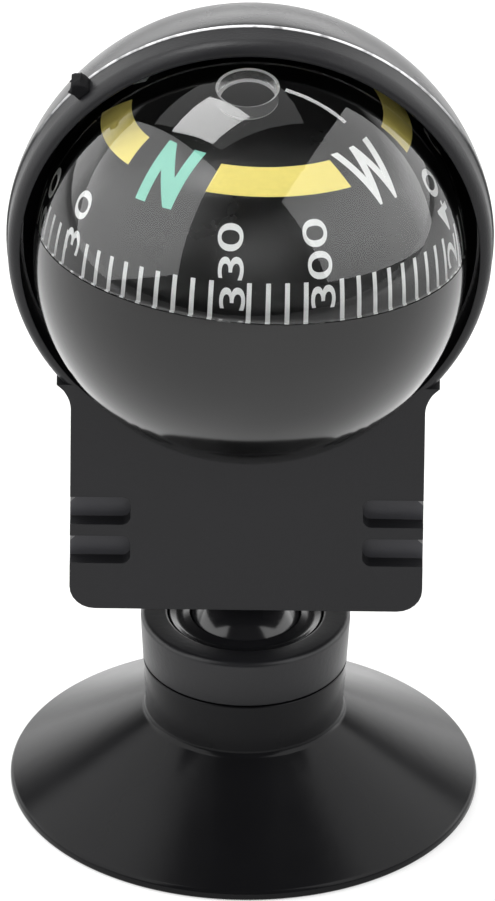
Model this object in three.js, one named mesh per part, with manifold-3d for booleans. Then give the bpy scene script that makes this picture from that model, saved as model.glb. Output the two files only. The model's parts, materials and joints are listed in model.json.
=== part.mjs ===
// A liquid-filled ball compass for a car dashboard, in a hooded case on a ball joint and a suction cup.
// Millimetres, +Z up, the dial faces -Y. The origin is under the middle of the whole object, on the surface
// that the suction cup stands on.

import * as THREE from "three";
import { mergeVertices } from "three/addons/utils/BufferGeometryUtils.js";
import Module from "manifold-3d";

const wasm = await Module();
wasm.setup();

const DEGREE = Math.PI / 180;
const QUARTER = Math.PI / 2;

// Facets on round pieces, large to small
const largeFaces = 40;
const middleFaces = 24;
const smallFaces = 16;

// Clearances and overruns
const fit = 0.3; // between pieces that are put together and stay put
const runningGap = 0.15; // between a round piece and the seat it turns in
const overrun = 1; // how far a cutter runs past what it cuts

// Ball and the liner that it snaps into
const ballRadius = 4.9;
const ballFloorGap = 1; // room under the ball
const lipRise = 2.1; // lip of the liner above the ball's centre
const linerWall = 1.3; // beside the ball
const linerDish = 0.5; // how far the liner's face dips between rim and lip
const linerFootReach = 3.7; // how far the liner's seat follows the ball below its centre

// Collar of the socket
const collarWall = 2.25; // at the top of the collar
const collarHeight = 4.4; // from the seam with the rubber up to the collar's top
const collarProud = 0.2; // top of the collar above the liner's
const collarEdgeRound = 0.5;
const barrelWall = 0.4; // below the seam, inside the rubber
const beadHeight = 1.1; // ring on the barrel that snaps into the rubber
const beadReach = 0.3;
const socketFloor = 0.8;

// Suction cup
const cupRimRadius = 19.3;
const cupRimEdge = 0.75; // height of the thin outer band
const cupEdgeRound = 0.2;
const cupSealWidth = 1.5; // flat ring that meets the glass
const cupNeckFoot = 7.2; // height at which the cone ends in the neck
const cupNeckWall = 1; // rubber round the barrel at the foot of the neck
const cupHollowHeight = 5.6;
const cupHollowRound = 2.5; // how far the hollow's top edge is rounded each way
const cupMembrane = 1.5; // rubber between the hollow and the socket
const cupFillet = 0.7; // round between cone and neck

// Stud, washer and screw
const studRadius = 2.4;
const studReach = 6.8; // from the ball's centre to the underside of the case
const studFlangeLip = 1.1; // how far the flange stands out from the stud
const studFlangeThickness = 0.9;
const washerLip = 1.3; // how far the washer stands out from the stud
const washerThickness = 0.8;
const screwRadius = 1;
const screwLength = 6;
const screwHeadLip = 1; // how far the head stands out from the thread
const screwHeadHeight = 1.5;
const screwSlotWidth = 0.5;
const screwSlotEnd = 0.6; // metal left at each end of the cross slot

// Capsule
const capsuleRadius = 17.8;
const capsuleWall = 1.4;
const bowlFlat = 0.9; // how much shallower than a ball the lower half is
const capsuleRollAngle = 3 * DEGREE; // the capsule sits turned in its case, right side low
const capsuleLeanAngle = 6 * DEGREE; // and leans back
const domeEdgeAngle = 6.7 * DEGREE; // latitude of the seam between bowl and clear dome
const skirtAngle = 3.5 * DEGREE; // latitude down to which the dome reaches inside the bowl's rim
const gasketHeight = 0.5;
const topStopRadius = 2.3; // clear stud under the crown that keeps the card on its needle
const topStopLength = 3.2;
const plugRadius = 1.5;
const plugGap = 1.25; // from the plug's hole to the post's socket
const plugChamfer = 0.3;

// Pivot
const pivotDrop = 6.4; // needle tip below the card's crown
const postRadius = 1.6;
const postDrop = 1; // top of the post below the capsule's centre
const postSocketDepth = 2.2;
const postSocketWall = 1.2;
const needleRadius = 0.45;
const needlePoint = 1.3; // length of the ground point
const needleSeat = 3;
const jewelRadius = 1.5;
const jewelMouth = 0.9; // radius of the cone that stands on the needle
const jewelDepth = 0.9;
const holderWall = 0.7;
const holderRise = 1.2; // flat top of the holder above the round of the jewel

// Card
const cardSideGap = 2.15; // liquid between the card and the capsule's wall
const cardHeadroom = 0.8; // from the card's crown to the clear stud
const cardWall = 0.8;
const cardCurveShare = 0.8; // 1 is an ellipse, less is squarer
const cardRollAngle = 3 * DEGREE;
const cardLeanAngle = 10 * DEGREE; // the card leans back more than the capsule
const cardHeadingAngle = 323.7 * DEGREE; // the heading on the card that faces the front
const floatThickness = 2.6;
const floatEdgeRound = 0.8;
const hubWall = 0.9;
const magnetLength = 13;
const magnetWidth = 2.6;
const magnetThickness = 2.4;
const magnetDrop = 2.4; // top of the magnets below the needle's tip
const cradleWall = 0.7;
const cradleDepth = 0.9;

// Case: front bezel and rear hood
const openingGap = 1.05; // dark gap between the capsule and the edge of the opening
const lipDepth = 3.1;
const lipStep = 0.15; // from the lip's back edge out to the hood
const lipEdge = 0.15; // blunt front edge of the lip
const lipRound = 1.3; // depth over which the lip's outer edge is rounded
const hoodWall = 1.4;
const hoodSideGap = 0.93; // between the capsule and the hood's wall
const hoodSetback = 1.4; // centre of the hood's round behind the capsule's centre
const seamGap = 0.15; // fine line between bezel and hood
const blockWidth = 29.2;
const blockWall = 1.6;
const blockCorner = 2.1;
const rearCorner = 6;
const shoulderDrop = 12.5; // where the round of the hood ends in the shoulder
const shoulderProud = 0.3; // corner of the shoulder beyond the lip
const shoulderHeight = 2.3; // over which the shoulder narrows to the block
const screwHeadroom = 3.2; // from the screw up to the hood's round
const studBossWall = 1.7;
const studBossHeight = 6.5;
const pegRadius = 1.1;
const pegLength = 5;
const pegInset = 4; // from the sides and the underside of the case
const pegBossWall = 0.9;
const tabSize = 1; // small square tab on the rim at the upper left
const tabAngle = 45 * DEGREE;

// Finger grooves
const grooveHeight = 2.6;
const grooveLength = 5; // in from the side of the case
const grooveDepth = 1.4; // into the front face
const grooveCorner = 0.7;
const grooveNotch = 0.65; // into the side of the case
const grooveSlope = 1.1; // how far the notch's lower wall runs out
const groovePitch = 3.74;
const grooveFoot = 4.4; // lowest groove above the underside of the case
const grooveReach = 9; // how far the notches run along the side of the case
const grooveCount = 2;

// Foam ring that holds the capsule in the hood, as angles from the hood's axis
const seatInnerAngle = 24 * DEGREE;
const seatOuterAngle = 42 * DEGREE;

// Sizes of the joint, from the ball outwards
const socketBore = ballRadius + runningGap + linerWall + runningGap;
const barrelRadius = socketBore + barrelWall;
const collarRadius = socketBore + collarWall;
const cupNeckRadius = barrelRadius + fit + cupNeckWall;
const socketDepthFloor = cupHollowHeight + cupMembrane;
const ballHeight = socketDepthFloor + fit + socketFloor + ballFloorGap + ballRadius;
const collarTop = ballHeight + lipRise + collarProud;
const cupNeckTop = collarTop - collarHeight;
const studFlangeRadius = studRadius + studFlangeLip;
const washerRadius = studRadius + washerLip;
const screwHeadRadius = screwRadius + screwHeadLip;
const studBossRadius = studRadius + runningGap + studBossWall;

// Sizes of the capsule and of the case round it
const capsuleInner = capsuleRadius - capsuleWall;
const bowlDepth = capsuleRadius - bowlFlat;
const plugOffset = postRadius + fit / 2 + postSocketWall + plugGap + fit + plugRadius;
const cardRadius = capsuleInner - cardSideGap;
const cardHeight = capsuleInner - topStopLength - cardHeadroom;
const pivotHeight = cardHeight - pivotDrop;
const holderRadius = jewelRadius + runningGap + holderWall;
const hubRadius = holderRadius + runningGap + hubWall;
const magnetOffset = hubRadius + fit + magnetWidth / 2;
const openingRadius = capsuleRadius + openingGap;
const hoodRadius = capsuleRadius + hoodSideGap + hoodWall;
const hoodFront = lipDepth + seamGap;
const lipRadius = roundAt(hoodRadius, hoodFront - hoodSetback) - lipStep;
const blockDepth = 2 * (hoodFront + studBossRadius);
const screwStack = runningGap + washerThickness + runningGap + screwHeadHeight;
const blockDrop = blockWall + studBossHeight + screwStack + screwHeadroom + hoodRadius;
const flareDrop = shoulderDrop + shoulderHeight;
const capsuleCentre = ballHeight + studReach + blockDrop;
const frontReach = blockDepth / 2 + capsuleRadius * Math.cos(capsuleLeanAngle);
const middleShift = (frontReach - cupRimRadius) / 2;

// Materials
function plastic(color, roughness) {
  return new THREE.MeshStandardMaterial({ color, roughness, metalness: 0 });
}

function metal(color, roughness) {
  return new THREE.MeshStandardMaterial({ color, roughness, metalness: 1 });
}

const finishes = {
  rubber: plastic(0x1a1a1b, 0.35),
  socketPlastic: plastic(0x2b2b2d, 0.4),
  linerPlastic: plastic(0x232325, 0.3),
  casePlastic: plastic(0x303032, 0.45),
  hoodPlastic: plastic(0x2a2a2c, 0.5),
  bowlPlastic: plastic(0x101011, 0.15),
  foam: plastic(0x3a3a3a, 0.9),
  clearPlastic: new THREE.MeshStandardMaterial({
    color: 0xf4f7f8, roughness: 0.05, metalness: 0, transparent: true, opacity: 0.25,
  }),
  gasketRubber: plastic(0x202020, 0.7),
  cardPlastic: plastic(0x0c0c0d, 0.5),
  floatPlastic: plastic(0xd9d6cc, 0.6),
  magnetSteel: metal(0x5a5c60, 0.4),
  steel: metal(0xb9bcc0, 0.3),
  brass: metal(0xc2a04d, 0.35),
  jewel: plastic(0xb0304a, 0.1),
};

// Turn a three.js geometry into one closed body for cutting and joining
function solid(geometry) {
  const plain = geometry.clone();
  plain.deleteAttribute("normal");
  plain.deleteAttribute("uv");
  const merged = mergeVertices(plain);
  const triangles = [];
  for (let i = 0; i < merged.index.count; i += 3) {
    const corners = [merged.index.getX(i), merged.index.getX(i + 1), merged.index.getX(i + 2)];
    if (new Set(corners).size === 3) {
      triangles.push(...corners);
    }
  }
  const vertProperties = Float32Array.from(merged.attributes.position.array);
  const triVerts = Uint32Array.from(triangles);
  return new wasm.Manifold(new wasm.Mesh({ numProp: 3, vertProperties, triVerts }));
}

function geometryOf(body) {
  const mesh = body.getMesh();
  const geometry = new THREE.BufferGeometry();
  geometry.setAttribute("position", new THREE.BufferAttribute(Float32Array.from(mesh.vertProperties), 3));
  geometry.setIndex(new THREE.BufferAttribute(Uint32Array.from(mesh.triVerts), 1));
  geometry.computeVertexNormals();
  return geometry;
}

// Points along an elliptical arc, from one angle to another
function arc(x, y, radiusX, radiusY, from, to, steps) {
  const points = [];
  for (let i = 0; i <= steps; i += 1) {
    const angle = from + ((to - from) * i) / steps;
    points.push([x + radiusX * Math.cos(angle), y + radiusY * Math.sin(angle)]);
  }
  return points;
}

// Points that round off a corner between two points
function easedCorner(from, corner, to, steps) {
  const [start, middle, end] = [from, corner, to].map((point) => new THREE.Vector2(...point));
  const curve = new THREE.QuadraticBezierCurve(start, middle, end);
  return curve.getPoints(steps).map((point) => [point.x, point.y]);
}

// A profile is a list of [radius, place along the axis], out along the near side and back along the far side
function profileOf(points) {
  const vectors = points.map(([radius, place]) => new THREE.Vector2(Math.max(radius, 0), place));
  const first = vectors[0];
  const last = vectors[vectors.length - 1];
  if (first.x > 0 || last.x > 0) {
    vectors.push(first.clone());
  }
  return vectors;
}

function turnedAboutDepth(points, faces = largeFaces) {
  return new THREE.LatheGeometry(profileOf(points), faces);
}

function turned(points, faces = largeFaces) {
  const geometry = turnedAboutDepth(points, faces);
  geometry.rotateX(QUARTER);
  return geometry;
}

function rod(radius, from, to, faces = smallFaces) {
  return turned([[0, from], [radius, from], [radius, to], [0, to]], faces);
}

function rodBack(radius, x, z, from, to, faces = smallFaces) {
  const geometry = turnedAboutDepth([[0, from], [radius, from], [radius, to], [0, to]], faces);
  geometry.translate(x, 0, z);
  return geometry;
}

// A shape drawn in the front view and run back from one depth to another
function pressedBack(shape, from, to) {
  const depth = to - from;
  const geometry = new THREE.ExtrudeGeometry(shape, { depth, bevelEnabled: false, curveSegments: 5 });
  geometry.rotateX(QUARTER);
  geometry.translate(0, to, 0);
  return geometry;
}

function part(name, geometry, material) {
  const mesh = new THREE.Mesh(geometry, material);
  mesh.name = name;
  return mesh;
}

// Radius of a ball's surface at a place along its axis
function roundAt(radius, place) {
  return Math.sqrt(radius * radius - place * place);
}

// Base: suction cup and socket

function suctionCup() {
  const sealInner = cupRimRadius - cupEdgeRound - cupSealWidth;
  const pocket = barrelRadius + fit;
  const groove = barrelRadius + beadReach + fit;
  const grooveLow = (socketDepthFloor + cupNeckTop - beadHeight) / 2 - fit;
  const grooveHigh = (socketDepthFloor + cupNeckTop + beadHeight) / 2 + fit;
  const slope = Math.atan2(cupNeckFoot - cupRimEdge, cupRimRadius - cupNeckRadius);
  const hollowTop = sealInner - cupHollowHeight / Math.tan(slope);
  const hollowSide = [hollowTop + cupHollowRound, cupHollowHeight - cupHollowRound * Math.tan(slope)];
  const hollowFlat = [Math.max(hollowTop - cupHollowRound, 0), cupHollowHeight];
  const conePoint = [cupNeckRadius + cupFillet * Math.cos(slope), cupNeckFoot - cupFillet * Math.sin(slope)];
  const neckPoint = [cupNeckRadius, cupNeckFoot + cupFillet];
  return turned([
    [0, cupHollowHeight],
    ...easedCorner(hollowFlat, [hollowTop, cupHollowHeight], hollowSide, 3),
    [sealInner, 0],
    [cupRimRadius - cupEdgeRound, 0],
    [cupRimRadius, cupEdgeRound],
    [cupRimRadius, cupRimEdge - cupEdgeRound],
    [cupRimRadius - cupEdgeRound, cupRimEdge + cupEdgeRound / 2],
    ...easedCorner(conePoint, [cupNeckRadius, cupNeckFoot], neckPoint, 3),
    [neckRadiusAt(cupNeckTop), cupNeckTop],
    [pocket, cupNeckTop],
    [pocket, grooveHigh],
    [groove, grooveHigh],
    [groove, grooveLow],
    [pocket, grooveLow],
    [pocket, socketDepthFloor],
    [0, socketDepthFloor],
  ]);
}

// The neck and the collar share one tapered side
function neckRadiusAt(height) {
  const share = (height - cupNeckFoot) / (collarTop - cupNeckFoot);
  return cupNeckRadius + (collarRadius - cupNeckRadius) * share;
}

function socketCollar() {
  const bottom = socketDepthFloor + fit;
  const collarFoot = cupNeckTop + seamGap;
  const beadLow = (socketDepthFloor + cupNeckTop - beadHeight) / 2;
  const beadHigh = (socketDepthFloor + cupNeckTop + beadHeight) / 2;
  const round = collarEdgeRound;
  return turned([
    [0, bottom],
    [barrelRadius, bottom],
    [barrelRadius, beadLow],
    [barrelRadius + beadReach, beadLow + beadReach],
    [barrelRadius + beadReach, beadHigh - beadReach],
    [barrelRadius, beadHigh],
    [barrelRadius, collarFoot],
    [neckRadiusAt(collarFoot), collarFoot],
    ...arc(collarRadius - round, collarTop - round, round, round, 0, QUARTER, 2),
    [socketBore + round / 2, collarTop],
    [socketBore, collarTop - round / 2],
    [socketBore, bottom + socketFloor],
    [0, bottom + socketFloor],
  ]);
}

// Swivelling part of the joint: the liner that the ball snaps into

function socketLiner() {
  const outer = socketBore - runningGap;
  const seat = ballRadius + runningGap;
  const bottom = socketDepthFloor + fit + socketFloor + runningGap;
  const mouth = roundAt(seat, lipRise);
  const lowAngle = -Math.asin(linerFootReach / seat);
  const lipAngle = Math.asin(lipRise / seat);
  const rim = ballHeight + lipRise;
  const dish = (outer + mouth) / 2;
  return turned([
    [seat * Math.cos(lowAngle), bottom],
    [outer, bottom],
    [outer, rim],
    [outer - linerDish / 2, rim],
    [dish, rim - linerDish],
    [mouth + linerDish / 3, rim],
    ...arc(0, ballHeight, seat, seat, lipAngle, lowAngle, 6),
  ], middleFaces);
}

// Stud: ball, neck, washer and screw

function studTop() {
  return ballHeight + studReach + blockWall + studBossHeight + runningGap;
}

function ballStud() {
  const neckAngle = Math.acos(studRadius / ballRadius);
  const flangeTop = ballHeight + studReach - runningGap;
  const top = studTop();
  const bore = screwRadius + runningGap;
  return turned([
    ...arc(0, ballHeight, ballRadius, ballRadius, -QUARTER, neckAngle, 9),
    [studRadius, flangeTop - 1.5 * studFlangeThickness],
    [studFlangeRadius, flangeTop - studFlangeThickness],
    [studFlangeRadius, flangeTop],
    [studRadius, flangeTop],
    [studRadius, top],
    [bore, top],
    [bore, top - screwLength - runningGap],
    [0, top - screwLength - runningGap],
  ], middleFaces);
}

function studWasher() {
  const low = studTop() + runningGap / 2;
  return turned([
    [screwRadius + runningGap, low],
    [washerRadius, low],
    [washerRadius, low + washerThickness],
    [screwRadius + runningGap, low + washerThickness],
  ], smallFaces);
}

function studScrew() {
  const head = studTop() + washerThickness + runningGap;
  const top = head + screwHeadHeight;
  const body = solid(turned([
    [0, studTop() - screwLength],
    [screwRadius, studTop() - screwLength + screwRadius],
    [screwRadius, head],
    [screwHeadRadius, head],
    [screwHeadRadius, head + screwHeadHeight / 2],
    ...arc(0, head + screwHeadHeight / 2, screwHeadRadius, screwHeadHeight / 2, 0, QUARTER, 3).slice(1),
  ], smallFaces));
  let cross = body;
  for (const turn of [0, QUARTER]) {
    const length = 2 * (screwHeadRadius - screwSlotEnd);
    const slot = new THREE.BoxGeometry(length, screwSlotWidth, screwHeadHeight);
    slot.rotateZ(turn);
    slot.translate(0, 0, top);
    cross = cross.subtract(solid(slot));
  }
  return geometryOf(cross);
}

// Case, drawn from the capsule's centre

function blockOutline(inset, shoulder) {
  const half = blockWidth / 2 - inset;
  const bottom = inset - blockDrop;
  const corner = Math.max(blockCorner - inset, blockCorner / 4);
  const flareMiddle = -(shoulderDrop + flareDrop) / 2;
  const outline = new THREE.Shape();
  outline.moveTo(shoulder, -shoulderDrop);
  outline.lineTo(-shoulder, -shoulderDrop);
  outline.quadraticCurveTo(-half, flareMiddle, -half, -flareDrop);
  outline.lineTo(-half, bottom + corner);
  outline.absarc(corner - half, bottom + corner, corner, Math.PI, 1.5 * Math.PI, false);
  outline.lineTo(half - corner, bottom);
  outline.absarc(half - corner, bottom + corner, corner, 1.5 * Math.PI, 2 * Math.PI, false);
  outline.lineTo(half, -flareDrop);
  outline.quadraticCurveTo(half, flareMiddle, shoulder, -shoulderDrop);
  return outline;
}

function grooveCutter(side, index) {
  const bottom = grooveFoot + index * groovePitch - blockDrop;
  const top = bottom + grooveHeight;
  const edge = blockWidth / 2;
  const inner = edge - grooveLength;
  const slot = new THREE.Shape();
  slot.moveTo(edge + overrun, top);
  slot.lineTo(inner + grooveCorner, top);
  slot.absarc(inner + grooveCorner, top - grooveCorner, grooveCorner, QUARTER, Math.PI, false);
  slot.lineTo(inner, bottom + grooveCorner);
  slot.absarc(inner + grooveCorner, bottom + grooveCorner, grooveCorner, Math.PI, 1.5 * Math.PI, false);
  slot.lineTo(edge + overrun, bottom);
  slot.closePath();
  const notch = new THREE.Shape();
  notch.moveTo(edge + overrun, top);
  notch.lineTo(edge - grooveNotch, top - grooveNotch / 3);
  notch.lineTo(edge - grooveNotch, bottom + grooveSlope);
  notch.lineTo(edge, bottom);
  notch.lineTo(edge + overrun, bottom);
  notch.closePath();
  const face = solid(pressedBack(slot, -overrun, grooveDepth));
  const flank = solid(pressedBack(notch, -overrun, grooveReach));
  const cutter = face.add(flank);
  return side > 0 ? cutter : cutter.mirror([1, 0, 0]);
}

function withoutGrooves(body) {
  let cut = body;
  for (const side of [-1, 1]) {
    for (let index = 0; index < grooveCount; index += 1) {
      cut = cut.subtract(grooveCutter(side, index));
    }
  }
  return cut;
}

function frontBezel() {
  const lip = solid(turnedAboutDepth([
    [openingRadius, lipDepth],
    [openingRadius, 0],
    ...arc(openingRadius + lipEdge, lipRound, lipRadius - openingRadius - lipEdge, lipRound, -QUARTER, 0, 4),
    [lipRadius, lipDepth],
  ]));
  const shoulder = roundAt(lipRadius, shoulderDrop) + shoulderProud;
  const plate = solid(pressedBack(blockOutline(0, shoulder), 0, lipDepth));
  const opening = solid(rodBack(openingRadius, 0, 0, -overrun, lipDepth + overrun, largeFaces));
  let bezel = lip.add(plate.subtract(opening));
  bezel = bezel.subtract(bezelPocket());
  for (const side of [-1, 1]) {
    const peg = rodBack(pegRadius, side * pegX(), pegZ(), lipDepth - blockWall, lipDepth + pegLength);
    bezel = bezel.add(solid(peg));
  }
  return geometryOf(withoutGrooves(bezel.add(rimTab())));
}

function pegX() {
  return blockWidth / 2 - pegInset;
}

function pegZ() {
  return pegInset - blockDrop;
}

// Lightening pocket in the back of the plate, clear of the grooves and of the lip
function bezelPocket() {
  const half = blockWidth / 2 - grooveLength - blockWall;
  const low = pegZ() + pegInset / 2;
  const high = -shoulderDrop;
  const opening = new THREE.Shape();
  opening.moveTo(-half, low);
  opening.lineTo(half, low);
  opening.lineTo(half, high);
  opening.lineTo(-half, high);
  opening.closePath();
  const pocket = solid(pressedBack(opening, blockWall, lipDepth + overrun));
  const wall = rodBack(openingRadius + blockWall, 0, 0, -overrun, lipDepth + 2 * overrun, largeFaces);
  return pocket.subtract(solid(wall));
}

// The small square tab that shows on the rim at the upper left
function rimTab() {
  const tab = new THREE.BoxGeometry(tabSize, lipDepth - fit, tabSize);
  tab.translate(0, (lipDepth + fit) / 2, lipRadius);
  tab.rotateY(-tabAngle);
  return solid(tab);
}

// The block seen from above, with its rounded rear corners
function blockPlan(inset) {
  const half = blockWidth / 2 - inset;
  const back = blockDepth - inset;
  const corner = rearCorner - inset;
  const plan = new THREE.Shape();
  plan.moveTo(-half, -overrun);
  plan.lineTo(half, -overrun);
  plan.lineTo(half, back - corner);
  plan.absarc(half - corner, back - corner, corner, 0, QUARTER, false);
  plan.lineTo(corner - half, back);
  plan.absarc(corner - half, back - corner, corner, QUARTER, Math.PI, false);
  plan.closePath();
  const height = blockDrop + 2 * overrun;
  const geometry = new THREE.ExtrudeGeometry(plan, { depth: height, bevelEnabled: false, curveSegments: 5 });
  geometry.translate(0, 0, overrun - height);
  return solid(geometry);
}

function rearHood() {
  const inner = hoodRadius - hoodWall;
  const start = Math.asin((hoodFront - hoodSetback) / hoodRadius);
  const back = arc(0, hoodSetback, hoodRadius, hoodRadius, start, QUARTER, 8);
  const dome = solid(turnedAboutDepth([[0, hoodFront], ...back]));
  const [outerBall, innerBall] = [hoodRadius, inner].map((radius) => (
    solid(turnedAboutDepth(arc(0, hoodSetback, radius, radius, -QUARTER, QUARTER, 16)))
  ));
  const half = blockWidth / 2;
  const block = solid(pressedBack(blockOutline(0, half), hoodFront, blockDepth)).intersect(blockPlan(0));
  const inside = blockOutline(blockWall, half - blockWall);
  const hollow = solid(pressedBack(inside, hoodFront - overrun, blockDepth))
    .intersect(blockPlan(blockWall))
    .subtract(outerBall);
  let hood = dome.add(withoutGrooves(block)).subtract(innerBall).subtract(hollow);
  for (const side of [-1, 1]) {
    const boss = rodBack(pegRadius + pegBossWall, side * pegX(), pegZ(), hoodFront + fit, blockDepth);
    hood = hood.add(solid(boss).intersect(block));
  }
  hood = hood.add(studBoss(studBossRadius, blockWall / 2, studBossHeight + blockWall));
  hood = hood.subtract(studBoss(studRadius + runningGap, -overrun, studBossHeight + blockWall + overrun));
  for (const side of [-1, 1]) {
    const bore = rodBack(pegRadius + fit, side * pegX(), pegZ(), -overrun, lipDepth + pegLength + fit);
    hood = hood.subtract(solid(bore));
  }
  return geometryOf(hood);
}

// A cylinder on the stud's axis, from one height above the underside of the case to another
function studBoss(radius, from, to) {
  const geometry = rod(radius, from - blockDrop, to - blockDrop, middleFaces);
  geometry.translate(0, blockDepth / 2, 0);
  return solid(geometry);
}

function capsuleSeat() {
  const low = capsuleRadius + fit;
  const high = hoodRadius - hoodWall - fit;
  return turnedAboutDepth([
    ...arc(0, 0, low, low, QUARTER - seatInnerAngle, QUARTER - seatOuterAngle, 2),
    ...arc(0, hoodSetback, high, high, QUARTER - seatOuterAngle, QUARTER - seatInnerAngle, 2),
  ]);
}

// Capsule, drawn from its own centre

function lapRadius() {
  return capsuleRadius - capsuleWall / 2;
}

function clearDome() {
  const stopFoot = capsuleInner - topStopLength;
  const stopAngle = Math.acos(topStopRadius / capsuleInner);
  const lap = lapRadius() - fit / 2;
  return turned([
    [0, stopFoot],
    [topStopRadius, stopFoot],
    ...arc(0, 0, capsuleInner, capsuleInner, stopAngle, skirtAngle, 6),
    [lap * Math.cos(skirtAngle), lap * Math.sin(skirtAngle)],
    [lap * Math.cos(domeEdgeAngle), lap * Math.sin(domeEdgeAngle)],
    ...arc(0, 0, capsuleRadius, capsuleRadius, domeEdgeAngle, QUARTER, 9),
  ]);
}

// Latitude of the ledge in the bowl that the gasket and the dome's skirt stand on
function ledgeAngle() {
  return skirtAngle - (gasketHeight + fit) / capsuleInner;
}

function domeGasket() {
  const low = capsuleInner * Math.sin(ledgeAngle()) + fit / 2;
  const middle = (capsuleInner + lapRadius()) / 2;
  const half = (lapRadius() - capsuleInner) / 2 - fit / 3;
  return turned([
    [middle - half, low],
    [middle + half, low],
    [middle + half, low + gasketHeight],
    [middle - half, low + gasketHeight],
  ]);
}

function bowlFloor() {
  return capsuleWall - bowlDepth;
}

function lowerBowl() {
  const socket = postRadius + fit / 2;
  const socketOuter = socket + postSocketWall;
  const lap = lapRadius() + fit / 2;
  const ledge = ledgeAngle();
  const rim = domeEdgeAngle - runningGap / capsuleRadius;
  const innerDepth = bowlDepth - capsuleWall;
  const socketAngle = Math.acos(socketOuter / capsuleInner);
  const top = bowlFloor() + postSocketDepth;
  const shell = solid(turned([
    ...arc(0, 0, capsuleRadius, bowlDepth, -QUARTER, 0, 7),
    ...arc(0, 0, capsuleRadius, capsuleRadius, 0, rim, 2).slice(1),
    [lap * Math.cos(rim), lap * Math.sin(rim)],
    [lap * Math.cos(ledge), lap * Math.sin(ledge)],
    [capsuleInner * Math.cos(ledge), capsuleInner * Math.sin(ledge)],
    ...arc(0, 0, capsuleInner, innerDepth, 0, -socketAngle, 4),
    [socketOuter, top],
    [socket, top],
    [socket, bowlFloor() + fit],
    [0, bowlFloor() + fit],
  ]));
  const hole = rod(plugRadius + fit, -bowlDepth - overrun, 0);
  hole.translate(0, plugOffset, 0);
  return geometryOf(shell.subtract(solid(hole)));
}

// Rubber plug in the filling hole under the bowl, flush outside, with a rib that swells inside the wall
function fillPlug() {
  const low = -bowlDepth * Math.sqrt(1 - (plugOffset - plugRadius) ** 2 / capsuleRadius ** 2) + plugChamfer;
  const high = bowlFloor() * Math.sqrt(1 - (plugOffset + plugRadius) ** 2 / capsuleInner ** 2);
  const plug = turned([
    [0, low],
    [plugRadius - plugChamfer, low],
    [plugRadius, low + plugChamfer],
    [plugRadius, high],
    [plugRadius - plugChamfer, high + plugChamfer],
    [0, high + plugChamfer],
  ], smallFaces);
  plug.translate(0, plugOffset, 0);
  return plug;
}

function pivotPost() {
  const bottom = bowlFloor() + 2 * fit;
  const bore = needleRadius + runningGap;
  return turned([
    [0, bottom],
    [postRadius, bottom],
    [postRadius, -postDrop - postRadius / 2],
    [postRadius / 2 + bore / 2, -postDrop],
    [bore, -postDrop],
    [bore, -postDrop - needleSeat],
    [0, -postDrop - needleSeat],
  ], smallFaces);
}

function pivotNeedle() {
  const foot = runningGap - postDrop - needleSeat;
  return turned([
    [0, foot],
    [needleRadius, foot],
    [needleRadius, pivotHeight - needlePoint],
    [0, pivotHeight],
  ], smallFaces / 2);
}

// Card, drawn from the tip of the needle that it stands on

function jewelCup() {
  const apex = runningGap;
  const foot = apex - jewelDepth;
  const footAngle = Math.asin(foot / jewelRadius);
  return turned([
    [0, apex],
    [jewelMouth, foot],
    ...arc(0, 0, jewelRadius, jewelRadius, footAngle, QUARTER, 7),
  ], smallFaces);
}

function jewelHolder() {
  const seat = jewelRadius + runningGap;
  return turned([
    ...arc(0, 0, seat, seat, QUARTER, 0, 6),
    [holderRadius, 0],
    [holderRadius, holderTop()],
    [0, holderTop()],
  ], smallFaces);
}

function holderTop() {
  return jewelRadius + runningGap + holderRise;
}

// Points of the card's rounded side, from the rim up to the crown
function cardSide(inset, steps) {
  const points = [];
  for (let i = 0; i <= steps; i += 1) {
    const angle = (QUARTER * i) / steps;
    const across = i === steps ? 0 : Math.cos(angle) ** cardCurveShare;
    const up = Math.sin(angle) ** cardCurveShare;
    points.push([(cardRadius - inset) * across, (cardHeight - inset) * up - pivotHeight]);
  }
  return points;
}

function dialCard() {
  return turned([...cardSide(cardWall, 7).reverse(), ...cardSide(0, 9)]);
}

// Float that lifts the card: a disc with a hub for the jewel's holder and two cradles for the magnets
function cardFloat() {
  const bore = holderRadius + runningGap;
  const top = pivotDrop - cardWall - fit;
  const low = top - floatThickness;
  const side = cardSide(cardWall + fit, 12).filter(([, place]) => place > low + floatEdgeRound);
  const hubTop = Math.max(holderTop() + runningGap, low + floatThickness / 2);
  const disc = solid(turned([
    [bore, 0],
    [hubRadius, 0],
    [hubRadius, low],
    [side[0][0] - floatEdgeRound, low],
    ...side,
    [0, hubTop],
    [bore, hubTop],
  ], middleFaces));
  let body = disc;
  for (const side of [-1, 1]) {
    body = body.add(magnetStalk(side, low));
  }
  return geometryOf(body);
}

// A square leg from the float down to the magnet, with a cradle that straddles it
function magnetStalk(side, low) {
  const wide = magnetWidth + 2 * (cradleWall + fit);
  const high = fit - magnetDrop;
  const reach = low + overrun - high;
  const leg = new THREE.BoxGeometry(magnetWidth, magnetWidth, reach);
  leg.translate(side * magnetOffset, 0, high + reach / 2);
  const cradle = new THREE.BoxGeometry(wide, magnetWidth, 2 * cradleDepth);
  cradle.translate(side * magnetOffset, 0, high);
  const slot = new THREE.BoxGeometry(magnetWidth + 2 * fit, magnetWidth + 2 * overrun, 2 * cradleDepth);
  slot.translate(side * magnetOffset, 0, high - cradleDepth);
  return solid(leg).add(solid(cradle)).subtract(solid(slot));
}

function magnetBar(side) {
  const bar = new THREE.BoxGeometry(magnetWidth, magnetLength, magnetThickness);
  bar.translate(side * magnetOffset, 0, -magnetDrop - magnetThickness / 2);
  return bar;
}

// Put the pieces together

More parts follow.
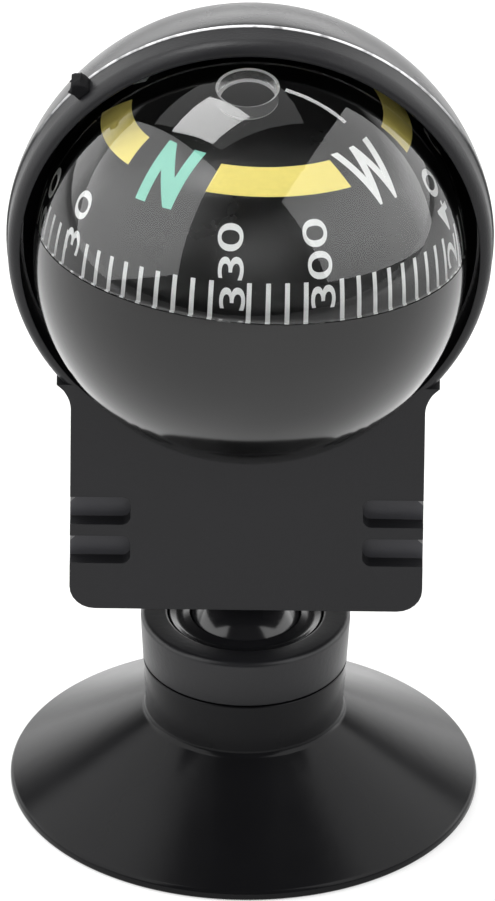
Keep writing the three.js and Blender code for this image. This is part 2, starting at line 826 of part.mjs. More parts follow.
function buildBase() {
  const group = new THREE.Group();
  group.add(part("suction_cup", suctionCup(), finishes.rubber));
  group.add(part("socket_collar", socketCollar(), finishes.socketPlastic));
  group.add(part("socket_liner", socketLiner(), finishes.linerPlastic));
  group.add(part("ball_stud", ballStud(), finishes.socketPlastic));
  group.add(part("stud_washer", studWasher(), finishes.steel));
  group.add(part("stud_screw", studScrew(), finishes.steel));
  return group;
}

function buildCard() {
  const group = new THREE.Group();
  group.position.set(0, 0, pivotHeight).applyEuler(new THREE.Euler(-capsuleLeanAngle, capsuleRollAngle, 0));
  group.rotation.set(-cardLeanAngle, cardRollAngle, cardHeadingAngle);
  group.add(part("jewel_cup", jewelCup(), finishes.jewel));
  group.add(part("jewel_holder", jewelHolder(), finishes.brass));
  group.add(part("dial_card", dialCard(), finishes.cardPlastic));
  group.add(part("card_float", cardFloat(), finishes.floatPlastic));
  group.add(part("magnet_left", magnetBar(-1), finishes.magnetSteel));
  group.add(part("magnet_right", magnetBar(1), finishes.magnetSteel));
  return group;
}

function buildCapsule() {
  const group = new THREE.Group();
  group.rotation.set(-capsuleLeanAngle, capsuleRollAngle, 0);
  group.add(part("lower_bowl", lowerBowl(), finishes.bowlPlastic));
  group.add(part("clear_dome", clearDome(), finishes.clearPlastic));
  group.add(part("dome_gasket", domeGasket(), finishes.gasketRubber));
  group.add(part("fill_plug", fillPlug(), finishes.gasketRubber));
  group.add(part("pivot_post", pivotPost(), finishes.brass));
  group.add(part("pivot_needle", pivotNeedle(), finishes.steel));
  return group;
}

function buildHead() {
  const group = new THREE.Group();
  group.position.set(0, -blockDepth / 2, capsuleCentre);
  group.add(part("front_bezel", frontBezel(), finishes.casePlastic));
  group.add(part("rear_hood", rearHood(), finishes.hoodPlastic));
  group.add(part("capsule_seat", capsuleSeat(), finishes.foam));
  group.add(buildCapsule());
  group.add(buildCard());
  return group;
}

const compass = new THREE.Group();
compass.position.y = middleShift;
compass.add(buildBase());
compass.add(buildHead());

export default compass;
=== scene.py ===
"""Dresses the packed dashboard compass: finer shapes, a printed scale, finishes and a small photo studio."""

import bisect
import json
import math

import bmesh
import bpy
from bpy.props import FloatProperty, FloatVectorProperty, PointerProperty
from mathutils import Matrix, Vector


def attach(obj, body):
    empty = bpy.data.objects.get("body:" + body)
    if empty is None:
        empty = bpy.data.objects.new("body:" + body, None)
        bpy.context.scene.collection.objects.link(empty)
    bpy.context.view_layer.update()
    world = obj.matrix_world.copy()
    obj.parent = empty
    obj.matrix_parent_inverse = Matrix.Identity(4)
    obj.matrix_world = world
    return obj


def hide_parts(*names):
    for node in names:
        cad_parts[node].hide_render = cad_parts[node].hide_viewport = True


bl_info = {
    "name": "Dashboard Compass",
    "version": (1, 0, 0),
    "blender": (4, 5, 0),
    "location": "View3D > Sidebar > Compass",
    "description": "Builds the visible pieces of a liquid-filled dashboard compass",
    "category": "Add Mesh",
}

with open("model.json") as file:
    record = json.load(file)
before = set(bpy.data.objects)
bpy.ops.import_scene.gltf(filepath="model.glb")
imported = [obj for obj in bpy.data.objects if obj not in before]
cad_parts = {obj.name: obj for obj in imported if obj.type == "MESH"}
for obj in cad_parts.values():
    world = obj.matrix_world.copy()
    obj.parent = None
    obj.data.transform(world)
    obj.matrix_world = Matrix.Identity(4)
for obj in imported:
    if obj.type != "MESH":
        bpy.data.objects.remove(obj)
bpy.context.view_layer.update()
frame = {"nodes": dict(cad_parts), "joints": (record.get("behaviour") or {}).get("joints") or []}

MM = 0.001
PAST = 1 * MM  # how far a cutting tool reaches past what it cuts
GAP = 0.15 * MM  # between parts that move or meet at the joint
POCKET_GAP = 0.3 * MM  # between the collar's barrel and the pocket in the neck
CRISP = 0.12 * MM  # round of a crisp moulded edge

# Figures: start above the card's rim and step from digit to digit in millimetres, shift and slant in degrees
EVEN = (1.7, 2.75, 0, 0)
FIGURES = {
    **dict.fromkeys((30, 60, 120, 150, 210, 240), EVEN),
    30: (2.8, 2.8, -2.2, -0.6),
    300: (2.0, 2.505, -0.35, -0.75),
    330: (1.95, 2.385, 0.8, -0.95),
}
# Letters: heading, shares of the usual width and height, middle above the rim in millimetres and boldness
LETTERS = {
    "E": (90, 0.92, 1, 10.6, 0.035),
    "S": (180, 0.95, 1, 10.6, 0.035),
    "W": (268, 1.3, 1, 10.6, 0.035),
    "N": (2.5, 1.04, 1.05, 10.75, 0.06),
}
# Bands: headings at which they start and end
BANDS = ((23, 68), (104, 166), (199, 241), (282, 343.5))
FIGURE_BOLD = 0.005
PRINT_GRID = 0.4 * MM  # step at which a flat print is cut, so that it can follow the card


def joint_place(name):
    """Where a joint of the packed model sits."""
    return Vector(next(joint["pos_m"] for joint in frame["joints"] if joint["name"] == name))


BALL = joint_place("ball_swivel")
TIP = joint_place("card_spin")


def length(name, description, default):
    """A size, given here in millimetres and kept in metres."""
    return FloatProperty(
        name=name, description=description, default=default * MM, min=0, precision=5, unit="LENGTH"
    )


def angle(name, description, degrees):
    """An angle that the sidebar shows in degrees."""
    return FloatProperty(name=name, description=description, default=math.radians(degrees), unit="ROTATION")


def amount(name, description, default):
    """A plain number."""
    return FloatProperty(name=name, description=description, default=default)


def colour(name, description, default):
    """A colour that the sidebar shows as a swatch."""
    return FloatVectorProperty(
        name=name, description=description, default=default, size=3, min=0, max=1, subtype="COLOR"
    )


class StandSizes(bpy.types.PropertyGroup):
    """Suction cup and ball joint."""

    cup_radius: length("Cup radius", "Rim of the suction cup", 19.45)
    cup_edge: length("Cup edge", "Height of the thin band at the rim", 0.75)
    seal_width: length("Seal width", "Flat ring that meets the glass", 1.5)
    hollow_height: length("Hollow height", "Top of the hollow under the cup", 5.6)
    neck_foot: length("Neck foot", "Height at which the cone ends in the neck", 7.2)
    neck_radius: length("Neck radius", "Foot of the neck", 8.2)
    neck_fillet: length("Neck fillet", "Round between cone and neck", 0.4)
    socket_floor: length("Socket floor", "Bottom of the pocket in the neck", 7.1)
    barrel_radius: length("Barrel radius", "Collar inside the neck", 6.9)
    collar_radius: length("Collar radius", "Top of the collar", 8.75)
    collar_height: length("Collar height", "From the seam up to the collar's top", 4.4)
    collar_bore: length("Collar bore", "Bore for the liner", 6.5)
    collar_round: length("Collar round", "Round of the collar's outer edge", 0.5)
    ball_radius: length("Ball radius", "Ball of the joint", 4.9)
    ball_gap: length("Ball gap", "Between the ball and the liner", 0.15)
    lip_rise: length("Lip rise", "Liner's lip above the ball's centre", 2.1)
    dish_depth: length("Dish depth", "Dip of the liner's face", 0.5)
    stud_radius: length("Stud radius", "Neck between ball and case", 2.4)
    stud_reach: length("Stud reach", "Ball's centre to the underside of the case", 6.8)
    collar_floor: length("Collar floor", "Floor of the collar under the liner", 0.8)
    liner_foot: length("Liner foot", "Where the liner's seat ends, below the ball's centre", 3.7)
    flange_width: length("Flange width", "Flange beyond the stud's neck", 1.1)
    flange_height: length("Flange height", "Side of the flange", 0.9)
    flange_cone: length("Flange cone", "Foot of the flange's cone to the flange's top", 1.4)
    pin_length: length("Pin length", "Pin above the flange", 8.4)
    screw_bore: length("Screw bore", "Radius of the hole for the screw", 1.15)
    screw_depth: length("Screw depth", "Depth of the hole for the screw", 6.15)


class CaseSizes(bpy.types.PropertyGroup):
    """Front bezel and rear hood."""

    opening_radius: length("Opening radius", "Edge of the opening round the capsule", 18.85)
    lip_depth: length("Lip depth", "Depth of the front bezel", 3.1)
    lip_radius: length("Lip radius", "Back edge of the lip", 19.895)
    lip_edge: length("Lip edge", "Blunt front edge of the lip", 0.15)
    lip_round: length("Lip round", "Depth of the round of the lip's outer edge", 1.3)
    hood_radius: length("Hood radius", "Outside of the round hood", 20.13)
    hood_wall: length("Hood wall", "Wall of the hood", 1.4)
    hood_setback: length("Hood setback", "Centre of the hood behind the capsule's centre", 1.4)
    seam_gap: length("Seam gap", "Fine line between bezel and hood", 0.02)
    seam_round: length("Seam round", "Round of the hood's front edge", 0.22)
    block_width: length("Block width", "Width of the block", 29.2)
    block_drop: length("Block drop", "Underside of the block below the capsule's centre", 34.03)
    block_depth: length("Block depth", "Front to back", 15)
    block_wall: length("Block wall", "Wall of the block", 1.6)
    block_corner: length("Block corner", "Round of the lower corners", 2.1)
    rear_corner: length("Rear corner", "Round of the rear corners", 6)
    shoulder_drop: length("Shoulder drop", "Where the round of the lip ends in the shoulder", 12.5)
    shoulder_proud: length("Shoulder proud", "Corner of the shoulder beyond the lip", 0.3)
    shoulder_height: length("Shoulder height", "Over which the shoulder narrows to the block", 2.3)
    edge_round: length("Edge round", "Round of the moulded edges", 0.14)
    groove_height: length("Groove height", "Height of a finger groove", 2.6)
    groove_length: length("Groove length", "From the side of the case inwards", 5)
    groove_depth: length("Groove depth", "Into the front face", 1.4)
    groove_corner: length("Groove corner", "Round of the groove's inner corners", 0.7)
    groove_notch: length("Groove notch", "Into the side of the case", 0.65)
    groove_pitch: length("Groove pitch", "From groove to groove", 3.74)
    groove_foot: length("Groove foot", "Lowest groove above the underside", 4.4)
    groove_reach: length("Groove reach", "Length of the notches along the side", 9)
    tab_size: length("Tab size", "Small square tab on the rim", 1.25)
    tab_place: angle("Tab place", "From the top round to the left", -43.5)


class CapsuleSizes(bpy.types.PropertyGroup):
    """Clear dome and black bowl."""

    radius: length("Radius", "Outside of the capsule", 17.8)
    wall: length("Wall", "Wall of dome and bowl", 1.4)
    bowl_depth: length("Bowl depth", "Outside of the bowl below the centre", 16.9)
    dome_edge: angle("Dome edge", "Latitude of the seam between bowl and dome", 6.7)
    skirt: angle("Skirt", "Latitude down to which the dome reaches inside the bowl's rim", 3.5)
    ledge: angle("Ledge", "Latitude of the ledge in the bowl under the dome's skirt", 0.7)
    lap_gap: length("Lap gap", "Between the skirt and the bowl's rim", 0.3)
    stop_radius: length("Stop radius", "Clear stud under the crown", 2.3)
    stop_length: length("Stop length", "How far the clear stud reaches down", 2.3)
    stop_round: length("Stop round", "Frosted rounds of the clear stud", 0.25)
    stop_roll: angle("Stop roll", "The clear stud leans to the left", -1.2)
    stop_lean: angle("Stop lean", "The clear stud leans forward", -5)
    roll: angle("Roll", "Right side low", 3)
    lean: angle("Lean", "Top leans back", 6)
    pivot_height: length("Pivot height", "Needle tip above the capsule's centre", 6)


class CardSizes(bpy.types.PropertyGroup):
    """Domed card and its printed marks."""

    radius: length("Radius", "Rim of the card", 14.25)
    height: length("Height", "Crown of the card above its rim", 12.4)
    wall: length("Wall", "Wall of the card", 0.8)
    curve_share: amount("Curve share", "1 is an ellipse, less is squarer", 0.8)
    roll: angle("Roll", "Right side low", 1.4)
    lean: angle("Lean", "Top leans back", 10)
    heading: angle("Heading", "Heading that faces the front", 323)
    ink_thickness: length("Ink thickness", "How far the print stands proud", 0.03)
    tick_width: length("Tick width", "Width of a tick", 0.37)
    tick_height: length("Tick height", "Height of a tick", 3.25)
    digit_width: length("Digit width", "Width of a digit", 2.2)
    digit_height: length("Digit height", "Height of a digit", 2.0)
    letter_width: length("Letter width", "Width of a letter", 3.3)
    letter_height: length("Letter height", "Height of a letter", 5.1)
    band_low: length("Band low", "Lower edge of the yellow bands, measured up the card", 10.07)
    band_high: length("Band high", "Upper edge of the yellow bands", 12.71)


class FinishColours(bpy.types.PropertyGroup):
    """Colours of the finishes."""

    case: colour("Case", "Spark-eroded plastic of the case", (0.009, 0.009, 0.010))
    hood: colour("Hood", "Satin plastic of the hood", (0.012, 0.012, 0.013))
    cup: colour("Cup", "Soft plastic of the suction cup", (0.004, 0.004, 0.0045))
    socket: colour("Socket", "Plastic of the joint", (0.008, 0.008, 0.009))
    bowl: colour("Bowl", "Polished plastic of the bowl", (0.005, 0.005, 0.005))
    card: colour("Card", "Black card", (0.004, 0.004, 0.004))
    white_ink: colour("White ink", "Ticks, figures and letters", (0.86, 0.87, 0.86))
    green_ink: colour("Green ink", "North letter", (0.25, 0.66, 0.52))
    yellow_ink: colour("Yellow ink", "Bands", (0.93, 0.78, 0.2))
    brass: colour("Brass", "Post and holder", (0.55, 0.4, 0.14))
    steel: colour("Steel", "Screw, washer and needle", (0.5, 0.5, 0.52))


class StudioSettings(bpy.types.PropertyGroup):
    """Camera and lights."""

    elevation: angle("Elevation", "Camera above the horizon", 31.1)
    distance: length("Distance", "Camera to the capsule's centre", 1800)
    lens: amount("Lens", "Focal length for a 36 mm sensor", 877.4)
    above: length("Above", "Capsule's centre above the middle of the picture", 15.918)
    askew: angle("Askew", "Turn of the camera about its own view", 0.7)
    reach: length("Reach", "Lamps to the capsule's centre", 600)
    side_light: amount("Side light", "Radiance of the two tall softboxes", 2.6)
    window_light: amount("Window light", "Radiance of the small window", 10.0)
    strip_light: amount("Strip light", "Radiance of the thin strip", 9.0)
    ceiling_light: amount("Ceiling light", "Radiance of the pale ceiling round the window", 0.9)
    fill_light: amount("Fill light", "Radiance of the lamp beside the camera, which nothing mirrors", 3.0)
    surround: amount("Surround", "Brightness of the dark part of the room", 0.05)
    back_wall: amount("Back wall", "Brightness behind the compass, near the horizon", 2.4)
    floor_glow: amount("Floor glow", "Light that the floor sends out itself", 0.35)


# Drawing


def tilted(lean, roll):
    """A turn back by lean, after a turn to the right by roll."""
    return Matrix.Rotation(-lean, 4, "X") @ Matrix.Rotation(roll, 4, "Y")


def capsule_centre():
    """Centre of the capsule's ball."""
    capsule = bpy.context.scene.compass_capsule
    return TIP - tilted(capsule.lean, capsule.roll) @ Vector((0, 0, capsule.pivot_height))


def draw(sheet, start, *steps):
    """Draws a wire in the plane of X and Z. A step is a point (x, z), a point (x, z, reach) whose corner is
    rounded for that length each way, or an arc ("arc", x, z, degrees, faces) about a centre."""
    first = tip = sheet.verts.new((start[0], 0, start[1]))
    corners = []
    for step in steps:
        if step[0] == "arc":
            x, z, degrees, faces = step[1:]
            swept = bmesh.ops.spin(
                sheet, geom=[tip], cent=(x, 0, z), axis=(0, -1, 0), angle=math.radians(degrees), steps=faces
            )
            tip = next(item for item in swept["geom_last"] if isinstance(item, bmesh.types.BMVert))
            continue
        corner = sheet.verts.new((step[0], 0, step[1]))
        sheet.edges.new((tip, corner))
        if len(step) == 3:
            corners.append((corner, step[2]))
        tip = corner
    return first, tip, corners


def ease(sheet, corners, segments=6):
    """Rounds the corners of a wire."""
    for corner, reach in corners:
        bmesh.ops.bevel(
            sheet, geom=[corner], offset=reach, offset_type="OFFSET", affect="VERTICES", segments=segments,
            profile=0.5, material=-1,
        )


def closed(*steps):
    """A wire that comes back to its start."""
    sheet = bmesh.new()
    first, tip, corners = draw(sheet, *steps)
    sheet.edges.new((tip, first))
    ease(sheet, corners)
    return sheet


def tidy_skin(sheet):
    """Merges doubles and turns the faces outwards."""
    bmesh.ops.remove_doubles(sheet, verts=sheet.verts, dist=0.0005 * MM)
    bmesh.ops.recalc_face_normals(sheet, faces=sheet.faces)


def turn(sheet, faces=144):
    """Turns a wire about the Z axis into a skin."""
    bmesh.ops.spin(
        sheet, geom=sheet.verts[:] + sheet.edges[:], cent=(0, 0, 0), axis=(0, 0, 1), angle=math.tau,
        steps=faces, use_merge=True,
    )
    tidy_skin(sheet)


def turned(*steps, faces=144, segments=6, join=False):
    """A skin turned from a wire, which join brings back to its start."""
    sheet = bmesh.new()
    first, last, corners = draw(sheet, *steps)
    if join:
        sheet.edges.new((last, first))
    ease(sheet, corners, segments)
    turn(sheet, faces)
    return sheet


def move(sheet, way):
    """Moves a skin."""
    bmesh.ops.translate(sheet, verts=sheet.verts, vec=way)


def swing(sheet, by, axis):
    """Turns a skin about an axis through the origin."""
    bmesh.ops.rotate(sheet, verts=sheet.verts, cent=(0, 0, 0), matrix=Matrix.Rotation(by, 3, axis))


def set_down(sheet, place):
    """Puts a skin in its place."""
    bmesh.ops.transform(sheet, matrix=place, verts=sheet.verts)


def lay_back(sheet):
    """Turns a skin about Z into one about the depth, front first."""
    swing(sheet, -math.pi / 2, "X")
    return sheet


def press(sheet, near, far):
    """Fills a closed wire in the front view and runs it back from one depth to another."""
    move(sheet, (0, near, 0))
    front = bmesh.ops.contextual_create(sheet, geom=sheet.edges[:])["faces"]
    pushed = bmesh.ops.extrude_face_region(sheet, geom=front)["geom"]
    back = [item for item in pushed if isinstance(item, bmesh.types.BMVert)]
    bmesh.ops.translate(sheet, verts=back, vec=(0, far - near, 0))
    tidy_skin(sheet)
    return sheet


def body_from(sheet, name):
    """Makes a mesh object out of a sheet."""
    mesh = bpy.data.meshes.new(name)
    sheet.to_mesh(mesh)
    sheet.free()
    body = bpy.data.objects.new(name, mesh)
    bpy.context.scene.collection.objects.link(body)
    return body


def combine(body, tool, operation):
    """Joins a tool to a body, cuts it off or keeps what they share, and clears the tool away."""
    if isinstance(tool, bmesh.types.BMesh):
        tool = body_from(tool, "tool")
    step = body.modifiers.new(operation, "BOOLEAN")
    step.operation = operation
    step.solver = "EXACT"
    step.object = tool
    solved = body.evaluated_get(bpy.context.evaluated_depsgraph_get())
    old, body.data = body.data, bpy.data.meshes.new_from_object(solved)
    body.modifiers.clear()
    bpy.data.meshes.remove(old)
    spent = tool.data
    bpy.data.objects.remove(tool)
    bpy.data.meshes.remove(spent)


def shade(sheet, sharp=35):
    """Smooth faces, with edges kept sharp where the skin turns more than so many degrees."""
    for face in sheet.faces:
        face.smooth = True
    for edge in sheet.edges:
        edge.smooth = len(edge.link_faces) == 2 and edge.calc_face_angle(0) < math.radians(sharp)


def hand_over(piece, finish, rides, slot, *nodes):
    """Gives a piece its finish, hangs it on the body that it rides on and hides the CAD nodes that it stands
    for.
    """
    if finish:
        piece.data.materials.append(finish)
    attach(piece, rides)
    if nodes:
        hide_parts(*nodes)
    return {"FINISHED"}


# Finishes


def plug(node, **plugs):
    """Links or sets the sockets of a node. In their names _ stands for a space."""
    for name, value in plugs.items():
        socket = node.inputs[name.replace("_", " ")]
        if isinstance(value, bpy.types.NodeSocket):
            node.id_data.links.new(value, socket)
        else:
            socket.default_value = (*value, 1) if socket.type == "RGBA" else value
    return node


def add(tree, kind, **plugs):
    """A new node with its sockets."""
    return plug(tree.nodes.new("ShaderNode" + kind), **plugs)


def new_finish(name, **plugs):
    """A material, its Principled shader and its object coordinates."""
    finish = bpy.data.materials.new(name)
    finish.use_nodes = True
    shader = plug(finish.node_tree.nodes["Principled BSDF"], **plugs)
    return finish, shader, add(finish.node_tree, "TexCoord").outputs["Object"]


def noise(place, scale, detail=3):
    """A noise pattern of so many cells a metre."""
    return add(place.id_data, "TexNoise", Vector=place, Scale=scale, Detail=detail).outputs["Fac"]


def spread(value, low, high, start=0.3, end=0.7):
    """Maps a pattern onto a range."""
    limits = {"From_Min": start, "From_Max": end, "To_Min": low, "To_Max": high}
    return add(value.id_data, "MapRange", Value=value, **limits).outputs["Result"]


def reckon(operation, first, second):
    """One step of arithmetic on a pattern."""
    node = first.id_data.nodes.new("ShaderNodeMath")
    node.operation = operation
    first.id_data.links.new(first, node.inputs[0])
    if isinstance(second, bpy.types.NodeSocket):
        first.id_data.links.new(second, node.inputs[1])
    else:
        node.inputs[1].default_value = second
    return node.outputs["Value"]


def tones(value, dark, light):
    """Maps a pattern onto two tones."""
    node = value.id_data.nodes.new("ShaderNodeMix")
    node.data_type = "RGBA"
    return plug(node, Factor=value, A=dark, B=light).outputs["Result"]


def bump(shader, height, distance):
    """Presses a pattern into the skin."""
    pressed = add(shader.id_data, "Bump", Strength=1, Distance=distance, Height=height)
    plug(shader, Normal=pressed.outputs["Normal"])


def lighter(tone, share):
    """A tone moved towards white by a share of itself."""
    return tuple(min(part * (1 + share), 1) for part in tone)


def moulded(name, tone, roughness, grain, relief, specular=0.5, cloud=0.25):
    """Moulded plastic: a cloudy tone, grain of so many cells a metre and a relief in millimetres."""
    finish, shader, place = new_finish(name, Specular_IOR_Level=specular)
    clouds = noise(place, 160, 4)
    plug(
        shader,
        Base_Color=tones(clouds, lighter(tone, -cloud), lighter(tone, cloud)),
        Roughness=spread(clouds, roughness * 0.88, roughness * 1.12),
    )
    bump(shader, noise(place, grain, 2), relief * MM)
    return finish


def ink(name, tone):
    """Printed ink: nearly even, a little patchy."""
    finish, shader, place = new_finish(name, Roughness=0.55)
    plug(shader, Base_Color=tones(noise(place, 2500), lighter(tone, -0.16), tone))
    bump(shader, noise(place, 6000, 2), 0.008 * MM)
    return finish


def clear_skin(name, index, roughness=0, clearness=1):
    """Clear plastic seen from one side: index is the plastic's, over that of what lies outside it."""
    finish, shader, place = new_finish(name, Transmission_Weight=clearness, IOR=index, Roughness=roughness)
    plug(shader, Base_Color=tones(noise(place, 90), (0.97, 0.98, 0.98), (1, 1, 1)))
    return finish


def turned_metal(name, tone, roughness):
    """Turned metal with fine rings of tool marks."""
    finish, shader, place = new_finish(name, Metallic=1)
    rings = add(finish.node_tree, "TexWave", Vector=place, Scale=1800, Distortion=0.6)
    rings.bands_direction = "Z"
    stain = noise(place, 400)
    plug(
        shader,
        Base_Color=tones(stain, lighter(tone, -0.18), lighter(tone, 0.08)),
        Roughness=spread(stain, roughness * 0.85, roughness * 1.2),
    )
    bump(shader, rings.outputs["Fac"], 0.004 * MM)
    return finish


def worn_edge(finish, front, width, middle):
    """Paints a pale highlight along the narrow front edge of a moulding, strongest at its top, where the
    edge's round catches the light from above.
    """
    shader = finish.node_tree.nodes["Principled BSDF"]
    place = add(finish.node_tree, "TexCoord").outputs["Object"]
    parts = add(finish.node_tree, "SeparateXYZ", Vector=place).outputs
    share = spread(parts["Y"], 1, 0, front + width * 0.8, front + width)
    share = reckon("MULTIPLY", share, spread(parts["Z"], 0, 1, middle + 9 * MM, middle + 16 * MM))
    share = reckon("MULTIPLY", share, spread(noise(place, 700), 0.3, 1, 0.35, 0.5))
    plain = shader.inputs["Base Color"].links[0].from_socket
    plug(shader, Base_Color=tones(share, plain, (0.75, 0.75, 0.76)))


# Stand


def stood(sheet, name):
    """A piece of the stand, moved onto the joint's axis."""
    move(sheet, (BALL.x, BALL.y, 0))
    shade(sheet)
    return body_from(sheet, name)


def collar_top(size):
    """Height of the collar's flat top."""
    return BALL.z + size.lip_rise + 0.2 * MM


def collar_foot(size):
    """Height of the seam between cup and collar."""
    return collar_top(size) - size.collar_height


def neck_radius(size, height):
    """The neck and the collar share one tapered side."""
    share = (height - size.neck_foot) / (collar_top(size) - size.neck_foot)
    return size.neck_radius + (size.collar_radius - size.neck_radius) * share


class COMPASS_OT_suction_cup(bpy.types.Operator):
    """Soft cup with its neck in one piece"""

    bl_idname = "compass.suction_cup"
    bl_label = "Suction Cup"

    def execute(self, context):
        size = context.scene.compass_stand
        slope = math.atan2(size.neck_foot - size.cup_edge, size.cup_radius - size.neck_radius)
        seal = size.cup_radius - 0.2 * MM - size.seal_width
        hollow = seal - size.hollow_height / math.tan(slope)
        pocket = size.barrel_radius + POCKET_GAP
        foot = collar_foot(size)
        sheet = turned(
            (0, size.hollow_height),
            (hollow, size.hollow_height, 2.5 * MM),
            (seal, 0, 0.1 * MM),
            (size.cup_radius, 0, 0.2 * MM),
            (size.cup_radius, size.cup_edge, 0.28 * MM),
            (size.neck_radius, size.neck_foot, size.neck_fillet),
            (neck_radius(size, foot), foot, CRISP),
            (pocket, foot, 0.1 * MM),
            (pocket, size.socket_floor),
            (0, size.socket_floor),
            faces=180, segments=8,
        )
        finish = moulded("cup_rubber", context.scene.compass_colours.cup, 0.2, 900, 0.006, 0.12)
        return hand_over(stood(sheet, "cup_soft"), finish, "base", "cup_rubber", "suction_cup")


class COMPASS_OT_socket(bpy.types.Operator):
    """Hard collar, and the dished liner that the ball snaps into"""

    bl_idname = "compass.socket"
    bl_label = "Socket"

    def execute(self, context):
        size = context.scene.compass_stand
        tone = context.scene.compass_colours.socket
        foot = collar_foot(size) + GAP
        top = collar_top(size)
        bottom = size.socket_floor + POCKET_GAP
        floor = bottom + size.collar_floor
        sheet = turned(
            (0, bottom),
            (size.barrel_radius, bottom, 0.2 * MM),
            (size.barrel_radius, foot),
            (neck_radius(size, foot), foot, CRISP),
            (size.collar_radius, top, size.collar_round),
            (size.collar_bore, top, 0.25 * MM),
            (size.collar_bore, floor),
            (0, floor),
        )
        finish = moulded("socket_plastic", tone, 0.34, 2600, 0.012, 0.32)
        hand_over(stood(sheet, "collar_turned"), finish, "base", "socket_plastic", "socket_collar")

        seat = size.ball_radius + size.ball_gap
        outer = size.collar_bore - size.ball_gap
        rim = BALL.z + size.lip_rise
        lip = math.asin(size.lip_rise / seat)
        low = math.asin(size.liner_foot / seat)
        mouth = seat * math.cos(lip)
        sheet = turned(
            (seat * math.cos(low), floor + size.ball_gap),
            (outer, floor + size.ball_gap),
            (outer, rim, CRISP),
            ((outer + mouth) / 2, rim - size.dish_depth, 0.4 * MM),
            (mouth, rim, 0.1 * MM),
            ("arc", 0, BALL.z, -math.degrees(lip + low), 16),
            join=True,
        )
        finish = moulded("liner_plastic", lighter(tone, -0.2), 0.2, 1500, 0.006)
        return hand_over(stood(sheet, "liner_dished"), finish, "swivel", "liner_plastic", "socket_liner")


class COMPASS_OT_ball_stud(bpy.types.Operator):
    """Ball, neck, flange and the pin that goes up into the case"""

    bl_idname = "compass.ball_stud"
    bl_label = "Ball Stud"

    def execute(self, context):
        size = context.scene.compass_stand
        neck = size.stud_radius
        bend = math.degrees(math.acos(neck / size.ball_radius))
        flange = BALL.z + size.stud_reach - GAP
        edge = neck + size.flange_width
        pin = flange + size.pin_length
        sheet = turned(
            (0, BALL.z - size.ball_radius),
            ("arc", 0, BALL.z, 90 + bend, 40),
            (neck, flange - size.flange_cone, 0.3 * MM),
            (edge, flange - size.flange_height, CRISP),
            (edge, flange, CRISP),
            (neck, flange),
            (neck, pin, 0.2 * MM),
            (size.screw_bore, pin),
            (size.screw_bore, pin - size.screw_depth),
            (0, pin - size.screw_depth),
            faces=96,
        )
        finish = moulded("stud_plastic", context.scene.compass_colours.socket, 0.16, 900, 0.004)
        return hand_over(stood(sheet, "stud_ball"), finish, "stud", "socket_plastic", "ball_stud")


# Case


def case_outline(size, inset=0, flare=0):
    """Closed outline of the block in the front view, from the capsule's centre. Flare widens its top."""
    half = size.block_width / 2 - inset
    corner = max(size.block_corner - inset, size.block_corner / 4)
    reach = size.shoulder_height / 2
    throat = -size.shoulder_drop - reach
    return closed(
        (half + flare, -size.shoulder_drop),
        (-half - flare, -size.shoulder_drop),
        *([(-half, throat, reach)] if flare else []),
        (-half, inset - size.block_drop, corner),
        (half, inset - size.block_drop, corner),
        *([(half, throat, reach)] if flare else []),
    )


def cut_grooves(body, size):
    """Cuts the finger grooves of both sides into a body."""
    edge = size.block_width / 2
    past = edge + PAST
    inner = edge - size.groove_length
    notch = edge - size.groove_notch
    corner = size.groove_corner
    for side in (-1, 1):
        for index in range(2):
            low = size.groove_foot + index * size.groove_pitch - size.block_drop
            high = low + size.groove_height
            steep = high - size.groove_height / 4
            middle = high - size.groove_height / 2
            face = closed((past, high), (inner, high, corner), (inner, low, corner), (past, low))
            flank = closed((past, high), (notch, high), (notch, steep), (edge, middle), (past, middle))
            for tool, depth in ((face, size.groove_depth), (flank, size.groove_reach)):
                press(tool, -PAST, depth)
                if side < 0:
                    bmesh.ops.scale(tool, verts=tool.verts, vec=(-1, 1, 1))
                    bmesh.ops.reverse_faces(tool, faces=tool.faces)
                combine(body, tool, "DIFFERENCE")


def soften(body, size, wanted):
    """Rounds the sharp edges of a moulding for which wanted says yes, and puts it in its place."""
    sheet = bmesh.new()
    sheet.from_mesh(body.data)
    bmesh.ops.remove_doubles(sheet, verts=sheet.verts, dist=0.01 * MM)
    bmesh.ops.dissolve_degenerate(sheet, edges=sheet.edges, dist=0.01 * MM)
    edges = [
        edge
        for edge in sheet.edges
        if len(edge.link_faces) == 2
        and edge.calc_face_angle(0) > math.radians(30)
        and wanted((edge.verts[0].co + edge.verts[1].co) / 2)
    ]
    bmesh.ops.bevel(
        sheet, geom=edges, offset=size.edge_round, offset_type="OFFSET", affect="EDGES", segments=3,
        profile=0.5, material=-1, clamp_overlap=True,
    )
    bmesh.ops.triangulate(sheet, faces=[face for face in sheet.faces if len(face.verts) > 4])
    move(sheet, capsule_centre())
    shade(sheet, 40)
    sheet.to_mesh(body.data)
    sheet.free()
    even = body.modifiers.new("even_faces", "WEIGHTED_NORMAL")
    even.keep_sharp = True


